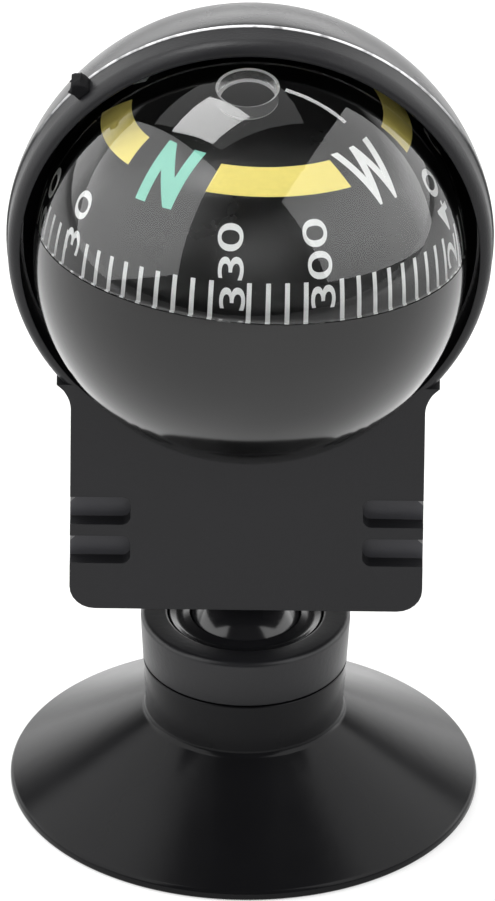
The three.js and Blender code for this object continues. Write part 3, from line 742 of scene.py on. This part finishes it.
class COMPASS_OT_front_bezel(bpy.types.Operator):
    """Lip round the opening, front plate, finger grooves and the small tab"""

    bl_idname = "compass.front_bezel"
    bl_label = "Front Bezel"

    def execute(self, context):
        size = context.scene.compass_case
        shoulder = math.sqrt(size.lip_radius**2 - size.shoulder_drop**2) + size.shoulder_proud
        plate = press(case_outline(size, 0, shoulder - size.block_width / 2), 0, size.lip_depth)
        body = body_from(plate, "case_front")
        opening = size.opening_radius
        bore = turned((0, -PAST), (opening, -PAST), (opening, 5 * MM), (0, 5 * MM), faces=180)
        combine(body, lay_back(bore), "DIFFERENCE")
        combine(body, self.lip(size), "UNION")
        cut_grooves(body, size)

        def wanted(place):
            below = place.z < -size.shoulder_drop - 0.3 * MM
            return below and math.hypot(place.x, place.z) > opening + 0.05 * MM

        soften(body, size, wanted)
        tone = context.scene.compass_colours.case
        body.data.materials.append(moulded("case_plastic", tone, 0.4, 5200, 0.02, 0.22))
        # Painted light: the groove floors get a lighter copy of the case's finish, which makes up for the
        # shade inside the recesses.
        body.data.materials.append(moulded("groove_floor_painted_light", lighter(tone, 2.6), 0.4, 5200, 0.02, 0.25))
        floor = capsule_centre().y + size.groove_depth
        for face in body.data.polygons:
            if face.normal.y < -0.9 and abs(face.center.y - floor) < 0.05 * MM:
                face.material_index = 1
        hand_over(body, None, "head", "case_plastic", "front_bezel")
        return self.tab(context, size)

    def lip(self, size):
        """Ring round the opening, with the round of its outer edge."""
        lip = bmesh.new()
        blunt = size.opening_radius + size.lip_edge
        ring = size.lip_radius - blunt
        first, last, corners = draw(
            lip,
            (size.opening_radius, size.lip_depth),
            (size.opening_radius, 0, 0.06 * MM),
            (blunt, 0),
            ("arc", blunt, ring, 90, 12),
        )
        curve = [vert for vert in lip.verts if vert.co.x > blunt + 0.001 * MM]
        bmesh.ops.scale(lip, verts=curve, vec=(1, 1, size.lip_round / ring))
        back = lip.verts.new((size.lip_radius, 0, size.lip_depth))
        lip.edges.new((last, back))
        lip.edges.new((back, first))
        ease(lip, corners, 3)
        turn(lip, 180)
        return lay_back(lip)

    def tab(self, context, size):
        """The small rough tab that stands out of the rim, where the moulding was cut from its runner."""
        depth = size.lip_depth - 1 * MM
        tab = bmesh.new()
        bmesh.ops.create_cube(tab, size=size.tab_size)
        bmesh.ops.subdivide_edges(tab, edges=tab.edges[:], cuts=3, use_grid_fill=True)
        bmesh.ops.bevel(
            tab, geom=[edge for edge in tab.edges if edge.calc_face_angle(0) > 1], offset=0.1 * MM,
            offset_type="OFFSET", affect="EDGES", segments=2, profile=0.5, material=-1,
        )
        for vert in tab.verts:
            torn = max(vert.co.z, 0) * 0.35
            vert.co.x += torn * math.sin(vert.co.y * 5200 + 1)
            vert.co.z += torn * math.sin(vert.co.x * 6100 + 2)
        bmesh.ops.scale(tab, verts=tab.verts, vec=(1, depth / size.tab_size, 1))
        move(tab, (0, size.lip_depth - depth / 2, size.lip_radius + size.tab_size * 0.45))
        swing(tab, size.tab_place, "Y")
        move(tab, capsule_centre())
        shade(tab, 60)
        finish = moulded("tab_plastic", context.scene.compass_colours.cup, 0.7, 4000, 0.03, 0.1)
        return hand_over(body_from(tab, "rim_tab"), finish, "head", "case_plastic")


class COMPASS_OT_rear_hood(bpy.types.Operator):
    """Rounded hood and the hollow block under it"""

    bl_idname = "compass.rear_hood"
    bl_label = "Rear Hood"

    def execute(self, context):
        size = context.scene.compass_case
        front = size.lip_depth + size.seam_gap
        start = math.degrees(math.asin((front - size.hood_setback) / size.hood_radius))
        body = body_from(press(case_outline(size), front, size.block_depth), "case_hood")
        combine(body, self.plan(size, 0), "INTERSECT")
        shell = turned(
            (0, front),
            (size.hood_radius * math.cos(math.radians(start)), front, size.seam_round),
            ("arc", 0, size.hood_setback, 90 - start, 36),
            faces=180,
        )
        combine(body, lay_back(shell), "UNION")
        combine(body, self.ball(size, size.hood_radius - size.hood_wall), "DIFFERENCE")
        hollow = press(case_outline(size, size.block_wall), front - PAST, size.block_depth)
        hollow = body_from(hollow, "hollow")
        combine(hollow, self.plan(size, size.block_wall), "INTERSECT")
        combine(hollow, self.ball(size, size.hood_radius), "DIFFERENCE")
        combine(body, hollow, "DIFFERENCE")
        radius = context.scene.compass_stand.stud_radius + GAP
        bore = turned((0, -PAST), (radius, -PAST), (radius, 3 * MM), (0, 3 * MM), faces=48)
        move(bore, (0, size.block_depth / 2, -size.block_drop))
        combine(body, bore, "DIFFERENCE")
        cut_grooves(body, size)

        def wanted(place):
            return place.z < -size.shoulder_drop - 0.3 * MM and place.y < size.block_depth

        soften(body, size, wanted)
        finish = moulded("hood_plastic", context.scene.compass_colours.hood, 0.28, 3600, 0.012)
        # Painted highlight: a pale line along the hood's front edge, where its round catches the light.
        worn_edge(finish, capsule_centre().y + front, size.seam_round * 0.7, capsule_centre().z)
        return hand_over(body, finish, "head", "hood_plastic", "rear_hood")

    def ball(self, size, radius):
        """A ball about the hood's centre."""
        centre = size.hood_setback
        return lay_back(turned((0, centre - radius), ("arc", 0, centre, 180, 72), faces=180))

    def plan(self, size, inset):
        """The block as seen from above, with its rear corners, run down past its underside."""
        half = size.block_width / 2 - inset
        back = size.block_depth - inset
        corner = size.rear_corner - inset
        sheet = closed((-half, -PAST), (half, -PAST), (half, back, corner), (-half, back, corner))
        return lay_back(press(sheet, 0, size.block_drop + PAST))


# Capsule


def stand_capsule(sheet):
    """Leans a skin drawn about the capsule's axis into its place."""
    capsule = bpy.context.scene.compass_capsule
    set_down(sheet, Matrix.Translation(capsule_centre()) @ tilted(capsule.lean, capsule.roll))
    shade(sheet)


def polar(radius, latitude):
    """A point of the wire at a latitude of a ball."""
    return radius * math.cos(latitude), radius * math.sin(latitude)


class COMPASS_OT_lower_bowl(bpy.types.Operator):
    """Black lower half of the capsule"""

    bl_idname = "compass.lower_bowl"
    bl_label = "Lower Bowl"

    def execute(self, context):
        size = context.scene.compass_capsule
        inner = size.radius - size.wall
        lap = size.radius - size.wall / 2 + size.lap_gap / 2
        rim = size.dome_edge - 0.06 * MM / size.radius
        sheet = bmesh.new()
        draw(
            sheet,
            (0, -size.radius),
            ("arc", 0, 0, 90, 40),
            ("arc", 0, 0, math.degrees(rim), 4),
            polar(lap, rim),
            polar(lap, size.ledge),
            polar(inner, size.ledge),
            ("arc", 0, 0, -90 - math.degrees(size.ledge), 44),
        )
        for radius, depth in ((size.radius, size.bowl_depth), (inner, size.bowl_depth - size.wall)):
            skin = [vert for vert in sheet.verts if vert.co.z < 0 and abs(vert.co.length - radius) < 0.1 * MM]
            bmesh.ops.scale(sheet, verts=skin, vec=(1, 1, depth / radius))
        turn(sheet, 180)
        stand_capsule(sheet)
        finish = moulded("bowl_plastic", context.scene.compass_colours.bowl, 0.12, 500, 0.004, 0.44)
        return hand_over(body_from(sheet, "bowl_black"), finish, "head", "bowl_plastic", "lower_bowl")


class COMPASS_OT_clear_dome(bpy.types.Operator):
    """Clear upper half of the capsule, with the stop under its crown. Its inner skin is wet, so it bends
    light far less than the outer one"""

    bl_idname = "compass.clear_dome"
    bl_label = "Clear Dome"

    def execute(self, context):
        size = context.scene.compass_capsule
        inner = size.radius - size.wall
        lap = size.radius - size.wall / 2 - size.lap_gap / 2
        sheet = turned(
            (0, inner),
            ("arc", 0, 0, math.degrees(size.skirt) - 90, 44),
            polar(lap, size.skirt),
            polar(lap, size.dome_edge),
            (*polar(size.radius, size.dome_edge), 0.08 * MM),
            ("arc", 0, 0, 90 - math.degrees(size.dome_edge), 64),
            faces=180, segments=5,
        )
        stand_capsule(sheet)
        piece = body_from(sheet, "dome_clear")
        self.add_stop(piece, size, inner, lap)
        for skin in (
            clear_skin("clear_wet_side", 1.05),
            clear_skin("clear_plastic", 1.49),
            clear_skin("clear_frosted_edge", 1.3, 0.4, 0.55),
            clear_skin("clear_drawn_side", 1.12, 0.2, 0.9),
        ):
            piece.data.materials.append(skin)
        return hand_over(piece, None, "head", "clear_plastic", "clear_dome")

    def add_stop(self, piece, size, inner, lap):
        """Joins the clear stud to the dome, and sorts the faces into wet, outer, frosted and drawn ones."""
        foot = inner - size.stop_length
        level = math.sqrt(inner**2 - size.stop_radius**2)
        root = size.stop_radius + size.stop_round
        rod = turned(
            (0, foot),
            (size.stop_radius, foot, size.stop_round),
            (size.stop_radius, level - size.stop_round),
            (root, level),
            (root, inner + 0.3 * MM),
            (0, inner + 0.3 * MM),
            faces=120, segments=5,
        )
        place = Matrix.Translation(capsule_centre()) @ tilted(size.stop_lean, size.stop_roll)
        set_down(rod, place)
        shade(rod)
        combine(piece, rod, "UNION")
        sheet = bmesh.new()
        sheet.from_mesh(piece.data)
        back = place.inverted()
        half = size.stop_round / 2
        for face in sheet.faces:
            middle = back @ face.calc_center_median()
            across = math.hypot(middle.x, middle.y)
            ring = min(abs(middle.z - foot - half), abs(middle.z - level + half))
            near = size.stop_radius - size.stop_round < across < root - 0.01 * MM
            if middle.length > lap - 0.1 * MM:
                face.material_index = 1
            elif near and middle.length < inner - 0.02 * MM:
                face.material_index = 2 if ring < size.stop_round * 0.7 else 3
        shade(sheet)
        sheet.to_mesh(piece.data)
        sheet.free()


# Card


def card_curve(size, steps=400):
    """Points of the card's side from the rim up to the crown, each with the way that it has come."""
    points = []
    way = 0
    for index in range(steps + 1):
        turn_up = math.pi / 2 * index / steps
        across = size.radius * math.cos(turn_up) ** size.curve_share if index < steps else 0
        up = size.height * math.sin(turn_up) ** size.curve_share
        if points:
            way += math.hypot(across - points[-1][0], up - points[-1][1])
        points.append((across, up, way))
    return points


def on_card(curve, way):
    """Radius, height and outward direction of the card's side at a way up from the rim."""
    low = bisect.bisect_right(curve, way, 1, len(curve) - 1, key=lambda point: point[2]) - 1
    here, there = curve[low], curve[low + 1]
    share = (way - here[2]) / (there[2] - here[2])
    radius = here[0] + (there[0] - here[0]) * share
    height = here[1] + (there[1] - here[1]) * share
    along = Vector((there[0] - here[0], there[1] - here[1])).normalized()
    return radius, height, Vector((along.y, -along.x))


def card_place(size):
    """Turn and place of the card, whose rim lies one pivot height below the needle's tip."""
    drop = bpy.context.scene.compass_capsule.pivot_height
    return Matrix.Translation(TIP) @ tilted(size.lean, size.roll) @ Matrix.Translation((0, 0, -drop))


class COMPASS_OT_dial_card(bpy.types.Operator):
    """Black domed card"""

    bl_idname = "compass.dial_card"
    bl_label = "Dial Card"

    def execute(self, context):
        size = context.scene.compass_card
        sheet = bmesh.new()
        for inset in (0, size.wall):
            radius = size.radius - inset
            height = size.height - inset
            first, _, _ = draw(sheet, (radius, 0), ("arc", 0, 0, 90, 48))
            arc = [vert for vert in sheet.verts if abs(vert.co.length - radius) < 0.01 * MM]
            for vert in arc:
                across = max(vert.co.x / radius, 0) ** size.curve_share
                up = max(vert.co.z / radius, 0) ** size.curve_share
                vert.co = (radius * across, 0, height * up)
            if inset:
                sheet.edges.new((outer_rim, first))
            outer_rim = first
        turn(sheet, 180)
        set_down(sheet, card_place(size))
        shade(sheet)
        finish = moulded("card_plastic", context.scene.compass_colours.card, 0.3, 2500, 0.004, 0.3)
        return hand_over(body_from(sheet, "card_black"), finish, "card", "card_plastic", "dial_card")


class COMPASS_OT_card_print(bpy.types.Operator):
    """Ticks, figures, letters and bands printed on the card"""

    bl_idname = "compass.card_print"
    bl_label = "Card Print"

    def execute(self, context):
        size = context.scene.compass_card
        colours = context.scene.compass_colours
        white, green, yellow = bmesh.new(), bmesh.new(), bmesh.new()
        curve = card_curve(size)
        for heading in range(0, 360, 6):
            if heading not in FIGURES:
                self.tick(white, curve, size, self.aside(size, heading))
        for heading, (start, pitch, shift, slant) in FIGURES.items():
            for index, figure in enumerate(str(heading)):
                self.glyph(
                    white, curve, size, figure, self.aside(size, heading - shift - index * slant),
                    (start + index * pitch) * MM, (size.digit_width, size.digit_height), 90, FIGURE_BOLD,
                )
        for letter, (heading, wide, high, middle, bold) in LETTERS.items():
            self.glyph(
                green if letter == "N" else white, curve, size, letter, self.aside(size, heading),
                middle * MM, (size.letter_width * wide, size.letter_height * high), 0, bold,
            )
        for start, end in BANDS:
            self.band(yellow, curve, size, self.aside(size, start), self.aside(size, end))
        for sheet, name, tone in (
            (white, "print_white", colours.white_ink),
            (green, "print_green", colours.green_ink),
            (yellow, "print_yellow", colours.yellow_ink),
        ):
            set_down(sheet, card_place(size))
            bmesh.ops.recalc_face_normals(sheet, faces=sheet.faces)
            shade(sheet, 50)
            hand_over(body_from(sheet, name), ink(name, tone), "card", "card_plastic")
        return {"FINISHED"}

    def aside(self, size, heading):
        """Angle to the right of the front at which a heading stands."""
        return size.heading - math.radians(heading)

    def wrap(self, sheet, flat, curve, size, aside):
        """Lays a flat print, right of X and up Y, round the card and gives it its thickness."""
        bmesh.ops.remove_doubles(flat, verts=flat.verts, dist=0.001 * MM)
        pushed = bmesh.ops.extrude_face_region(flat, geom=flat.faces[:])["geom"]
        top = {item for item in pushed if isinstance(item, bmesh.types.BMVert)}
        for vert in flat.verts:
            radius, height, out = on_card(curve, max(vert.co.y, 0))
            turn_right = aside + vert.co.x / radius
            lift = size.ink_thickness if vert in top else -size.ink_thickness
            radius += out.x * lift
            vert.co = (radius * math.sin(turn_right), -radius * math.cos(turn_right), height + out.y * lift)
        made = bpy.data.meshes.new("print")
        flat.to_mesh(made)
        flat.free()
        sheet.from_mesh(made)
        bpy.data.meshes.remove(made)

    def slice(self, flat):
        """Cuts a flat print along a grid, so that it can follow the card."""
        for axis in (0, 1):
            values = [vert.co[axis] for vert in flat.verts]
            line = math.floor(min(values) / PRINT_GRID) * PRINT_GRID + PRINT_GRID
            while line < max(values):
                spot, way = Vector((0, 0, 0)), Vector((0, 0, 0))
                spot[axis], way[axis] = line, 1
                parts = flat.verts[:] + flat.edges[:] + flat.faces[:]
                bmesh.ops.bisect_plane(flat, geom=parts, dist=1e-7, plane_co=spot, plane_no=way)
                line += PRINT_GRID

    def tick(self, sheet, curve, size, aside):
        """A tick that stands on the rim."""
        flat = bmesh.new()
        bmesh.ops.create_grid(flat, x_segments=1, y_segments=8, size=0.5)
        bmesh.ops.scale(flat, verts=flat.verts, vec=(size.tick_width, size.tick_height, 1))
        move(flat, (0, size.tick_height / 2, 0))
        self.wrap(sheet, flat, curve, size, aside)

    def band(self, sheet, curve, size, right, left):
        """A band between two angles, whose ends lean in."""
        flat = bmesh.new()
        bmesh.ops.create_grid(flat, x_segments=40, y_segments=6, size=0.5)
        for vert in flat.verts:
            share = vert.co.y + 0.5
            way = size.band_low + (size.band_high - size.band_low) * share
            wide = (right - left - math.radians(6) * share) * on_card(curve, way)[0]
            vert.co = (vert.co.x * wide, way, 0)
        self.wrap(sheet, flat, curve, size, (left + right) / 2)

    def glyph(self, sheet, curve, size, character, aside, middle, wanted, turned_by, bold):
        """One printed character, as wide and high as the zero of its kind would be."""
        low, high = self.corners(self.outline("0" if character.isdigit() else character, bold), True)
        flat = self.outline(character, bold)
        start, end = self.corners(flat)
        move(flat, -(start + end) / 2)
        scale = (wanted[0] / (high.x - low.x), wanted[1] / (high.y - low.y), 1)
        bmesh.ops.scale(flat, verts=flat.verts, vec=scale)
        swing(flat, math.radians(turned_by), "Z")
        move(flat, (0, middle, 0))
        self.slice(flat)
        self.wrap(sheet, flat, curve, size, aside)

    def corners(self, flat, spent=False):
        """Lowest and highest corner of a flat print, which is freed if it is spent."""
        places = [vert.co.copy() for vert in flat.verts]
        if spent:
            flat.free()
        return (Vector([pick(place[axis] for place in places) for axis in range(3)]) for pick in (min, max))

    def outline(self, character, bold):
        """Flat mesh of a character in the plain built-in face."""
        letters = bpy.data.curves.new("print", "FONT")
        letters.body = character
        letters.offset = bold
        letters.resolution_u = 6
        holder = bpy.data.objects.new("print", letters)
        bpy.context.scene.collection.objects.link(holder)
        solved = holder.evaluated_get(bpy.context.evaluated_depsgraph_get())
        mesh = bpy.data.meshes.new_from_object(solved)
        flat = bmesh.new()
        flat.from_mesh(mesh)
        bpy.data.objects.remove(holder)
        bpy.data.curves.remove(letters)
        bpy.data.meshes.remove(mesh)
        return flat


class COMPASS_OT_inner_finishes(bpy.types.Operator):
    """Finishes of the small pieces that keep their CAD shape"""

    bl_idname = "compass.inner_finishes"
    bl_label = "Inner Finishes"

    def execute(self, context):
        colours = context.scene.compass_colours
        brass = turned_metal("brass", colours.brass, 0.3)
        steel = turned_metal("steel", colours.steel, 0.28)
        rubber = moulded("gasket_rubber", (0.01, 0.01, 0.01), 0.6, 1500, 0.02)
        finishes = {
            "stud_washer": steel,
            "stud_screw": steel,
            "pivot_needle": steel,
            "pivot_post": brass,
            "jewel_holder": brass,
            "jewel_cup": moulded("jewel", (0.45, 0.04, 0.09), 0.06, 300, 0.001),
            "dome_gasket": rubber,
            "fill_plug": rubber,
            "capsule_seat": moulded("seat_foam", (0.04, 0.04, 0.04), 0.9, 2200, 0.12),
            "card_float": moulded("float_plastic", (0.66, 0.64, 0.58), 0.45, 1200, 0.01, cloud=0.06),
            "magnet_left": moulded("magnet_steel", (0.1, 0.1, 0.11), 0.5, 1600, 0.03),
            "magnet_right": moulded("magnet_dark", (0.1, 0.1, 0.11), 0.5, 1600, 0.03),
        }
        for name, finish in finishes.items():
            for slot in frame["nodes"][name].material_slots:
                slot.material = finish
        return {"FINISHED"}


class COMPASS_OT_studio(bpy.types.Operator):
    """Pale floor, soft lights and the camera"""

    bl_idname = "compass.studio"
    bl_label = "Studio"

    def execute(self, context):
        scene = context.scene
        studio = scene.compass_studio
        scene.view_settings.view_transform = "Standard"
        self.floor(studio)
        self.room(scene, studio)
        for name, way, turned_by, width, height, radiance in (
            ("softbox_left", (-0.866, -0.081, 0.494), 32, 1.46, 1.3, studio.side_light),
            ("softbox_right", (0.85, -0.035, 0.525), -17, 1.78, 1.16, studio.side_light),
            ("window", (-0.285, 0.345, 0.894), 3, 0.4, 0.42, studio.window_light),
            ("strip", (0.388, 0.6, 0.7), 17, 0.42, 0.045, studio.strip_light),
            ("ceiling", (-0.133, 0.48, 0.867), 17, 0.81, 0.81, studio.ceiling_light),
        ):
            self.softbox(scene, name, way, turned_by, width, height, radiance)
        fill = self.softbox(scene, "fill", (0, -0.856, 0.5165), 0, 0.8, 0.8, studio.fill_light)
        fill.visible_camera = False
        fill.visible_glossy = False
        self.camera(scene, studio)
        return {"FINISHED"}

    def camera(self, scene, studio):
        """The camera of the photograph: far off, with a long lens, in front of the compass and above it."""
        rise = Vector((0, math.sin(studio.elevation), math.cos(studio.elevation)))
        back = Vector((0, -math.cos(studio.elevation), math.sin(studio.elevation)))
        skew = Matrix.Rotation(studio.askew, 3, back)
        across, up = skew @ Vector((1, 0, 0)), skew @ rise
        lens = bpy.data.cameras.new("camera")
        lens.sensor_fit = "AUTO"
        lens.sensor_width = 36
        lens.lens = studio.lens
        lens.clip_start = 0.05
        lens.clip_end = 20
        camera = bpy.data.objects.new("camera", lens)
        scene.collection.objects.link(camera)
        place = capsule_centre() - studio.above * rise + studio.distance * back
        camera.matrix_world = Matrix.Translation(place) @ Matrix((across, up, back)).transposed().to_4x4()
        scene.camera = camera

    def softbox(self, scene, name, way, turned_by, width, height, radiance):
        """A rectangle that shines on the capsule from a direction. Its sizes are shares of its distance."""
        reach = scene.compass_studio.reach
        lamp = bpy.data.lights.new(name, "AREA")
        lamp.shape = "RECTANGLE"
        lamp.size = width * reach
        lamp.size_y = height * reach
        lamp.energy = radiance * math.pi * lamp.size * lamp.size_y
        holder = bpy.data.objects.new(name, lamp)
        scene.collection.objects.link(holder)
        way = Vector(way).normalized()
        level = Vector((0, 0, 1)).cross(way).normalized()
        across = Matrix.Rotation(math.radians(turned_by), 3, way) @ level
        facing = Matrix((across, way.cross(across), way)).transposed().to_4x4()
        holder.matrix_world = Matrix.Translation(capsule_centre() + way * reach) @ facing
        return holder

    def floor(self, studio):
        """A wide sheet of pale paper, which glows a little."""
        sheet = bmesh.new()
        bmesh.ops.create_circle(sheet, cap_ends=True, radius=3, segments=64)
        move(sheet, (0, 0, -0.02 * MM))
        bmesh.ops.recalc_face_normals(sheet, faces=sheet.faces)
        table = body_from(sheet, "table_top")
        finish, shader, place = new_finish(
            "table_paper", Roughness=0.9, Specular_IOR_Level=0, Emission_Color=(1, 1, 1),
            Emission_Strength=studio.floor_glow,
        )
        plug(shader, Base_Color=tones(noise(place, 300, 4), (0.53, 0.53, 0.53), (0.55, 0.55, 0.55)))
        table.data.materials.append(finish)

    def room(self, scene, studio):
        """Dim all round, bright behind the compass near the horizon, and pale where the camera looks past the
        floor."""
        scene.world = bpy.data.worlds.new("room")
        scene.world.use_nodes = True
        tree = scene.world.node_tree
        parts = add(tree, "SeparateXYZ", Vector=add(tree, "TexCoord").outputs["Generated"]).outputs
        behind = spread(parts["Y"], 0, studio.back_wall, 0.25, 0.6)
        wall = reckon("MULTIPLY", behind, spread(parts["Z"], 1, 0, 0.22, 0.42))
        seen = add(tree, "LightPath").outputs["Is Camera Ray"]
        glow = reckon("MAXIMUM", reckon("ADD", wall, studio.surround), seen)
        plug(tree.nodes["Background"], Color=(1, 1, 1), Strength=glow)


OPERATORS = (
    COMPASS_OT_suction_cup,
    COMPASS_OT_socket,
    COMPASS_OT_ball_stud,
    COMPASS_OT_front_bezel,
    COMPASS_OT_rear_hood,
    COMPASS_OT_lower_bowl,
    COMPASS_OT_clear_dome,
    COMPASS_OT_dial_card,
    COMPASS_OT_card_print,
    COMPASS_OT_inner_finishes,
    COMPASS_OT_studio,
)

GROUPS = {
    "compass_stand": StandSizes,
    "compass_case": CaseSizes,
    "compass_capsule": CapsuleSizes,
    "compass_card": CardSizes,
    "compass_colours": FinishColours,
    "compass_studio": StudioSettings,
}


class COMPASS_PT_sidebar(bpy.types.Panel):
    """Sizes, colours and steps of the compass"""

    bl_idname = "COMPASS_PT_sidebar"
    bl_label = "Compass"
    bl_space_type = "VIEW_3D"
    bl_region_type = "UI"
    bl_category = "Compass"

    def draw(self, context):
        for operator in OPERATORS:
            self.layout.operator(operator.bl_idname)
        for name, group in GROUPS.items():
            box = self.layout.box()
            box.label(text=group.__doc__)
            for size in group.__annotations__:
                box.prop(getattr(context.scene, name), size)


def register():
    """Registers the classes and hangs the sizes on the scene."""
    for name, group in GROUPS.items():
        bpy.utils.register_class(group)
        setattr(bpy.types.Scene, name, PointerProperty(type=group))
    for operator in (*OPERATORS, COMPASS_PT_sidebar):
        bpy.utils.register_class(operator)


def unregister():
    """Takes back what register did."""
    for operator in (COMPASS_PT_sidebar, *reversed(OPERATORS)):
        bpy.utils.unregister_class(operator)
    for name, group in reversed(GROUPS.items()):
        delattr(bpy.types.Scene, name)
        bpy.utils.unregister_class(group)


def main():
    """Builds all the pieces and the studio."""
    register()
    for operator in OPERATORS:
        getattr(bpy.ops.compass, operator.bl_idname.split(".")[1])()


if __name__ == "__main__":
    main()
